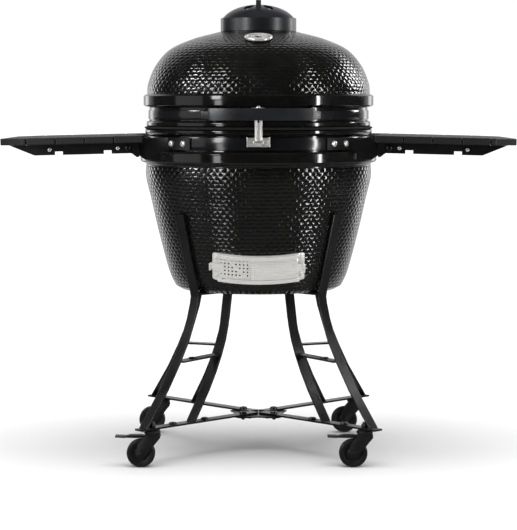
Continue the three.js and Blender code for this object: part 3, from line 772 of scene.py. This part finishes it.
def makeGauge(shape):
    turn, spot = gaugePlace()
    rim, foot, top, face = shape["rim"], shape["foot"], shape["top"], shape["face"]
    outline = [(0, -0.030), (0.004, -0.030), (0.004, foot), (rim - 0.0035, foot)]
    outline += [(rim - 0.001, foot + 0.0006), (rim, foot + 0.0022)]
    outline += [(rim, top - 0.0026), (rim - 0.001, top - 0.0008), (rim - 0.0035, top), (rim - 0.005, top - 0.0005)]
    outline += [(face, top - 0.0030), (face - 0.0005, top - 0.0052), (0, top - 0.0052)]
    bezel = turnedPiece("thermometer_bezel", outline, shape["steps"])
    softenEdges(bezel, 0.0005, 2, 35)
    placePiece(bezel, turn, spot)
    finishPiece(bezel, "lid", brightSteel, ["thermometer"])

    level = top - 0.0046
    edge = face - 0.0008
    outline = [(0, level), (edge, level), (edge, level - 0.0004), (0, level - 0.0004)]
    dial = turnedPiece("thermometer_dial", outline, shape["steps"])
    placePiece(dial, turn, spot)
    finishPiece(dial, "lid", dialWhite)

    tick = startPiece("tick", bpy.ops.mesh.primitive_cube_add, size=1, location=(0, 0, 0))
    tick.scale = (0.0012, 0.0050, 0.0003)
    bpy.ops.object.transform_apply(scale=True)
    ticks = []
    for i in range(shape["ticks"]):
        angle = math.radians(-130 + 260 * i / (shape["ticks"] - 1))
        place = Matrix.Rotation(-angle, 4, "Z") @ Matrix.Translation((0, 0.0255, level + 0.0002))
        ticks.append(copyPiece(tick, f"tick_{i}", place))
    bpy.data.objects.remove(tick)
    outline = [(0, level + 0.0005), (0.0026, level + 0.0005), (0.0022, level + 0.0016), (0, level + 0.0018)]
    needle = turnedPiece("needle_hub", outline, 24)
    cone = bpy.ops.mesh.primitive_cone_add
    pointerSize = {"vertices": 4, "radius1": 0.0014, "radius2": 0.0003, "depth": 0.024}
    pointer = startPiece("pointer", cone, location=(0, 0, 0.010), **pointerSize)
    pointer.rotation_euler = (math.radians(90), 0, math.radians(48))
    bpy.ops.object.transform_apply(location=True, rotation=True)
    placePiece(pointer, (0, 0, 0), (0, 0, level + 0.0012 - 0.010))
    makeActive(needle)
    for piece in ticks + [pointer]:
        piece.select_set(True)
    bpy.ops.object.join()
    needle.name = "thermometer_marks"
    placePiece(needle, turn, spot)
    finishPiece(needle, "lid", dialBlack)

    edge = face - 0.0003
    outline = [(0, top - 0.0024), (edge, top - 0.0028), (edge, top - 0.0022)]
    outline += [(0.018, top - 0.0014), (0, top - 0.0012)]
    pane = turnedPiece("thermometer_glass", outline, shape["steps"])
    placePiece(pane, turn, spot)
    finishPiece(pane, "lid", dialGlass)


makeGauge(gaugeShape)
print("thermometer made")


boltSizes = {  # radius, height, socket radius, socket depth
    "screw": (0.0082, 0.0050, 0.0032, 0.0024),
    "leg": (0.0113, 0.0080, 0.0036, 0.0030),
    "arm": (0.0108, 0.0054, 0.0034, 0.0022),
    "small": (0.0052, 0.0030, 0.0020, 0.0014),
}


def boltMaster(name, radius, height, socket, deep):
    # a domed screw head with a hex socket, standing on Z = 0
    outline = [(0, height - deep), (socket, height - deep), (socket, height - 0.0001)]
    for i in range(1, 8):
        angle = math.radians(90 - 90 * i / 7)
        reach = socket + (radius - socket) * math.cos(angle)
        outline.append((reach, 0.0008 + (height - 0.0008) * math.sin(angle)))
    outline += [(radius, -0.0006), (0, -0.0006)]
    bolt = turnedPiece(name, outline, 24)
    editPiece(bolt, "VERT")
    chooseVerts(bolt, lambda v: math.hypot(v.x, v.y) < socket * 1.02 and v.z > 0.0005)
    deselectAll()
    for vert in bolt.data.vertices:  # the socket's round wall becomes a hexagon
        reach = math.hypot(vert.co.x, vert.co.y)
        if 0.0003 < reach < socket * 1.02 and vert.co.z > 0.0005:
            turn = math.atan2(vert.co.y, vert.co.x) % math.radians(60) - math.radians(30)
            shrink = math.cos(math.radians(30)) / math.cos(turn)
            vert.co.x *= shrink
            vert.co.y *= shrink
    return bolt


screwHead = boltMaster("screw_master", *boltSizes["screw"])
legBolt = boltMaster("leg_bolt_master", *boltSizes["leg"])
armBolt = boltMaster("arm_bolt_master", *boltSizes["arm"])
smallScrew = boltMaster("small_screw_master", *boltSizes["small"])


def addBolt(master, name, spot, normal, body, material):
    bolt = copyPiece(master, name, facing(spot, normal))
    return finishPiece(bolt, body, material, (), 40)


latchShape = {
    "rod": 0.004,
    "pivotY": -0.317,
    "pivotZ": 0.940,
    "bolts": (-0.0190, 0.0185),
    "boltHeight": 0.853,
}


def makeLatch(shape):
    bail = fineCopy("latch_bail", "latch_bail_wire", 0.0006, 2, 3)
    finishPiece(bail, "latch_bail", brightSteel, ["latch_bail"], 60)
    bracket = fineCopy("latch_bracket", "latch_bracket_plate", 0.0007, 2)
    finishPiece(bracket, "base", brightSteel, ["latch_bracket"])
    outline = [(0, 0), (0.0062, 0), (0.0066, 0.002), (0.0056, 0.0045), (0.003, 0.0062), (0, 0.0066)]
    tip = turnedPiece("latch_tip", outline, 32)
    placePiece(tip, (0, 0, 0), (0, shape["pivotY"], shape["pivotZ"] + shape["rod"] * 0.6))
    finishPiece(tip, "latch_bail", brightSteel)
    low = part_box("latch_bracket")[0]
    for i, x in enumerate(shape["bolts"]):
        spot = (x, low.y + 0.0150, shape["boltHeight"])
        addBolt(screwHead, f"latch_screw_{i + 1}", spot, (0, -1, 0), "base", brightSteel)


makeLatch(latchShape)
print("latch made")


draftEdges = {"draft_frame": 0.0006, "draft_screen": 0, "draft_door": 0.0004}


def makeDraft(edges):
    for node, width in edges.items():
        sheet = fineCopy(node, f"{node}_sheet", width, 2, 2)
        body = "base" if node == "draft_frame" else node
        finishPiece(sheet, body, doorSteel, [node], 35)


makeDraft(draftEdges)
print("draft door made")


shelfShape = {
    "edge": 0.0022,
    "pivotX": 0.345,
    "pivotZ": 0.838,
    "railY": 0.2145,
    "droop": 1.4,  # degrees
    "screws": {1: 0.372, 4: 0.552},  # how far out each screw is, by its number
}


def drooped(spot, side):
    # a point in the level shelf's own lines, let down with the shelf
    turn = Matrix.Rotation(math.radians(side * shelfShape["droop"]), 4, "Y")
    pivot = Vector((side * shelfShape["pivotX"], 0, shelfShape["pivotZ"]))
    return pivot + turn @ (Vector(spot) - pivot)


def makeShelf(side, word):
    body = f"shelf_{word}"
    for i in range(1, 6):
        node = f"{body}_slat_{i}"
        slat = fineCopy(node, f"{node}_board", shelfShape["edge"], 3, 1 if i > 1 else 3)
        finishPiece(slat, body, board, [node], 12)
    rails = fineCopy(f"{body}_frame", f"{body}_rails", 0.0008, 2, 2)
    finishPiece(rails, body, blackCoat, [f"{body}_frame"], 20)
    for end in (-1, 1):
        where = "front" if end < 0 else "rear"
        for number, reach in shelfShape["screws"].items():
            spot = drooped((side * reach, end * shelfShape["railY"], shelfShape["pivotZ"]), side)
            name = f"{body}_{where}_screw_{number}"
            addBolt(smallScrew, name, spot, (0, end, 0), body, brightSteel)


for side, word in ((1, "right"), (-1, "left")):
    makeShelf(side, word)
print("shelves made")


bracketShape = {"angles": (40.2, 48.6), "pad": 0.308, "height": 0.849}


def makeBrackets(shape):
    for side, word in ((1, "right"), (-1, "left")):
        for end, where in ((-1, "front"), (1, "rear")):
            node = f"bracket_{word}_{where}"
            plate = fineCopy(node, f"{node}_plate", 0.0008, 2, 2)
            finishPiece(plate, "base", blackCoat, [node], 20)
            for i, angle in enumerate(shape["angles"]):
                turn = side * angle if end < 0 else side * (180 - angle)
                spot = around(shape["pad"] - 0.0002, turn, shape["height"])
                normal = around(1, turn, 0)
                addBolt(screwHead, f"{node}_bolt_{i + 1}", spot, normal, "base", brightSteel)
            pivot = Vector((side * shelfShape["pivotX"], end * 0.218, shelfShape["pivotZ"]))
            addBolt(screwHead, f"{node}_pivot", pivot, (0, end, 0), "base", blackCoat)


makeBrackets(bracketShape)
print("brackets made")


def makeHinge():
    for node, body in (("hinge_base", "base"), ("hinge_arm", "lid")):
        plate = fineCopy(node, f"{node}_plate", 0.0010, 2, 2)
        finishPiece(plate, body, blackCoat, [node], 35)
    for i, angle in enumerate((171, 189)):
        spot = around(bracketShape["pad"], angle, bracketShape["height"])
        addBolt(screwHead, f"hinge_bolt_{i + 1}", spot, around(1, angle, 0), "base", brightSteel)


makeHinge()
print("hinge made")


firebox = fineCopy("firebox", "firebox_liner", 0.0020, 2, 1)
finishPiece(firebox, "base", bareCeramic, ["firebox"], 40)
charcoalGrate = fineCopy("charcoal_grate", "charcoal_grate_casting", 0.0012, 2, 1)
finishPiece(charcoalGrate, "base", castIron, ["charcoal_grate"], 35)
cookingGrate = fineCopy("cooking_grate", "cooking_grate_rods", 0.0010, 2, 1)
finishPiece(cookingGrate, "base", rodSteel, ["cooking_grate"], 50)
print("grates made")


cartShape = {
    "edge": 0.0009,
    "armBolts": (0.060, 0.205, 0.322),
    "armTop": 0.105,
    "rungBolt": 0.250,
    "rungTop": 0.2715,
}


def quarterPlace(quarter, reach, height):
    angle = math.radians(quarter * 90 + 45)
    return Vector((reach * math.cos(angle), reach * math.sin(angle), height))


def makeCart(shape):
    for quarter, corner in enumerate(corners):
        for node in (f"leg_outer_{corner}", f"leg_inner_{corner}", f"arm_{corner}"):
            strip = fineCopy(node, f"{node}_bar", shape["edge"], 2, 2)
            finishPiece(strip, "base", blackCoat, [node], 20)
        front = quarter > 1
        for i, reach in enumerate(shape["armBolts"] if front else shape["armBolts"][:1]):
            spot = quarterPlace(quarter, reach, shape["armTop"] + 0.0004)
            addBolt(armBolt, f"arm_{corner}_bolt_{i + 1}", spot, (0, 0, 1), "base", blackCoat)
        if front:
            spot = quarterPlace(quarter, shape["rungBolt"], shape["rungTop"] - 0.0012)
            addBolt(legBolt, f"leg_{corner}_bolt", spot, (0, 0, 1), "base", blackCoat)
    hub = fineCopy("hub_plate", "hub_plate_cross", 0.0008, 2, 2)
    finishPiece(hub, "base", blackCoat, ["hub_plate"], 20)


makeCart(cartShape)
print("cart made")


casterShape = {"radius": 0.0375, "half": 0.012, "groove": 0.0032}


def wheelMaster(shape):
    # two thin discs with rounded treads on one hub
    radius, half, groove = shape["radius"], shape["half"], shape["groove"]
    tread = []
    for i in range(9):
        angle = math.radians(90 - 90 * i / 8)
        rise = groove + (half - groove) * 0.45 + (half - groove) * 0.55 * (1 - math.sin(angle)) ** 0.8
        tread.append((radius - 0.0038 + 0.0038 * math.sin(angle), rise))
    side = [(radius - 0.0045, half), (0.0255, half - 0.0004), (0.0240, half - 0.0026), (0.0150, half - 0.0042)]
    side += [(0.0120, half - 0.0012), (0.0110, half - 0.0004), (0.0043, half - 0.0004)]
    upper = [(0.020, 0.0012), (0.024, groove), (radius - 0.0022, groove), (radius - 0.0002, groove + 0.0012)]
    upper += tread[1:] + side
    lower = [(r, -z) for r, z in upper]
    outline = upper + lower[::-1]
    wheel = turnedPiece("wheel_master", outline + outline[:1], 64)
    softenEdges(wheel, 0.0004, 2, 32)
    placePiece(wheel, (90, 0, 0))
    return wheel


def makeCasters(shape):
    master = wheelMaster(shape)
    for quarter, corner in enumerate(corners):
        low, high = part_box(f"wheel_{corner}")
        middle = (low + high) / 2
        wheel = copyPiece(master, f"wheel_{corner}_twin", Matrix.Translation(middle))
        finishPiece(wheel, f"wheel_{corner}", plasticBlack, [f"wheel_{corner}"], 40)
        fork = fineCopy(f"fork_{corner}", f"fork_{corner}_yoke", 0.0009, 2, 2)
        finishPiece(fork, f"fork_{corner}", plasticBlack, [f"fork_{corner}"], 40)
        if quarter > 1:
            lever = fineCopy(f"brake_{corner}", f"brake_{corner}_pedal", 0.0012, 3, 2)
            finishPiece(lever, f"brake_{corner}", plasticBlack, [f"brake_{corner}"], 40)
    bpy.data.objects.remove(master)


makeCasters(casterShape)
for master in (screwHead, legBolt, armBolt, smallScrew):
    bpy.data.objects.remove(master)
print("casters made")


studio = {
    "floor": 0.80,
    "room": {"even": 0.60, "front": 0.012, "side": 0.06, "back": 0.75, "low": 0.16},
    "sun": {"tilt": 9, "softness": 62, "power": 2.9},
    "camera": {"spot": (0.0, -5.45, 0.956), "pitch": 3.45, "lens": 134.61, "shift": -0.08},
    "lamps": {
        "strip": {"angle": 57.5, "distance": 2.6, "height": 0.9, "size": (0.14, 2.4), "power": 34},
        "dome": {"angle": -69, "distance": 2.8, "height": 2.0, "size": (0.45, 0.6), "power": 30},
        "left": {"angle": -40, "distance": 3.0, "height": 1.80, "size": (0.50, 1.5), "power": 34},
        "lowLeft": {"angle": -38, "distance": 3.0, "height": 0.3, "size": (0.35, 1.4), "power": 9},
        "kicker": {"angle": 118, "distance": 2.6, "height": 1.75, "size": (0.5, 1.0), "power": 26},
        "card": {"angle": -70, "distance": 3.0, "height": 1.0, "size": (1.7, 1.4), "power": 5},
        "rearLeft": {"angle": -143, "distance": 3.0, "height": 1.0, "size": (0.6, 1.6), "power": 5},
        "rearRight": {"angle": 143, "distance": 3.0, "height": 1.0, "size": (0.6, 1.6), "power": 5},
    },
}


def addSoftBox(name, look, aim=(0, 0, 0.75)):
    # a lamp that shows only as a highlight on glossy faces
    spot = around(look["distance"], look["angle"], look["height"])
    light = bpy.data.lights.new(name, "AREA")
    light.shape = "RECTANGLE"
    light.size, light.size_y = look["size"]
    light.energy = look["power"]
    lamp = bpy.data.objects.new(name, light)
    lamp.location = spot
    lamp.rotation_euler = (spot - Vector(aim)).to_track_quat("Z", "Y").to_euler()
    lamp.visible_diffuse = False
    bpy.context.scene.collection.objects.link(lamp)


def addSun(look):
    # a broad light from above and a little in front, which only the floor and matt faces feel
    light = bpy.data.lights.new("overhead", "SUN")
    light.angle = math.radians(look["softness"])
    light.energy = look["power"]
    lamp = bpy.data.objects.new("overhead", light)
    lamp.rotation_euler = (math.radians(look["tilt"]), 0, 0)
    lamp.visible_glossy = False
    bpy.context.scene.collection.objects.link(lamp)


def makeFloor(shade):
    floor = startPiece("floor", bpy.ops.mesh.primitive_plane_add, size=120, location=(0, 0, 0))
    material, shader = newMaterial("paleFloor", (shade, shade, shade), 0.9)
    shader.inputs["Specular IOR Level"].default_value = 0.1
    place = objectPlace(material)
    addBump(material, shader, noiseHeight(material, place, 40), 0.0002)
    floor.data.materials.append(material)
    floor.visible_glossy = False


def makeWorld(look):
    # an even white room, which mirrors as a dim front and a bright back
    world = bpy.data.worlds.new("studioRoom")
    bpy.context.scene.world = world
    world.use_nodes = True
    world.cycles.sampling_method = "NONE"
    nodes, links = world.node_tree.nodes, world.node_tree.links
    coordinate = nodes.new("ShaderNodeTexCoord")
    split = nodes.new("ShaderNodeSeparateXYZ")
    ramp = nodes.new("ShaderNodeValToRGB")
    spread = nodes.new("ShaderNodeMapRange")
    spread.inputs["From Min"].default_value = -1
    ramp.color_ramp.elements[0].position = 0.17  # the dim front ends here
    ramp.color_ramp.elements[1].position = 0.23
    shades = (look["front"], look["side"], look["side"], look["back"])
    ramp.color_ramp.elements.new(0.80)
    ramp.color_ramp.elements.new(0.88)
    for element, shade in zip(ramp.color_ramp.elements, shades):
        element.color = (shade, shade, shade * 1.02, 1)
    path = nodes.new("ShaderNodeLightPath")
    mirrored = nodes.new("ShaderNodeMix")
    seen = nodes.new("ShaderNodeMix")
    for mix in (mirrored, seen):
        mix.data_type = "RGBA"
    mirrored.inputs[6].default_value = (look["even"], look["even"], look["even"], 1)
    seen.inputs[7].default_value = (1, 1, 1, 1)
    links.new(coordinate.outputs["Generated"], split.inputs["Vector"])
    links.new(split.outputs["Y"], spread.inputs["Value"])
    links.new(spread.outputs["Result"], ramp.inputs["Fac"])
    links.new(path.outputs["Is Glossy Ray"], mirrored.inputs[0])
    low = nodes.new("ShaderNodeMapRange")
    low.inputs["From Min"].default_value = -0.20
    low.inputs["From Max"].default_value = -0.55
    low.inputs["To Max"].default_value = look["low"]
    ground = nodes.new("ShaderNodeMix")
    ground.data_type = "RGBA"
    ground.blend_type = "ADD"
    ground.inputs[0].default_value = 1.0
    links.new(split.outputs["Z"], low.inputs["Value"])
    links.new(ramp.outputs["Color"], ground.inputs[6])
    links.new(low.outputs["Result"], ground.inputs[7])
    links.new(ground.outputs[2], mirrored.inputs[7])
    links.new(path.outputs["Is Camera Ray"], seen.inputs[0])
    links.new(mirrored.outputs[2], seen.inputs[6])
    links.new(seen.outputs[2], nodes["Background"].inputs["Color"])
    nodes["Background"].inputs["Strength"].default_value = 1.0


def makeCamera(look):
    data = bpy.data.cameras.new("camera")
    data.lens = look["lens"]
    data.shift_y = look["shift"]
    data.clip_end = 100
    camera = bpy.data.objects.new("camera", data)
    camera.location = look["spot"]
    camera.rotation_euler = (math.radians(90 - look["pitch"]), 0, 0)
    bpy.context.scene.collection.objects.link(camera)
    bpy.context.scene.camera = camera


makeFloor(studio["floor"])
makeWorld(studio["room"])
addSun(studio["sun"])
for name, look in studio["lamps"].items():
    addSoftBox(name, look)
makeCamera(studio["camera"])
bpy.context.scene.view_settings.view_transform = "Standard"
bpy.context.scene.view_settings.look = "None"
print("studio made")

deselectAll()
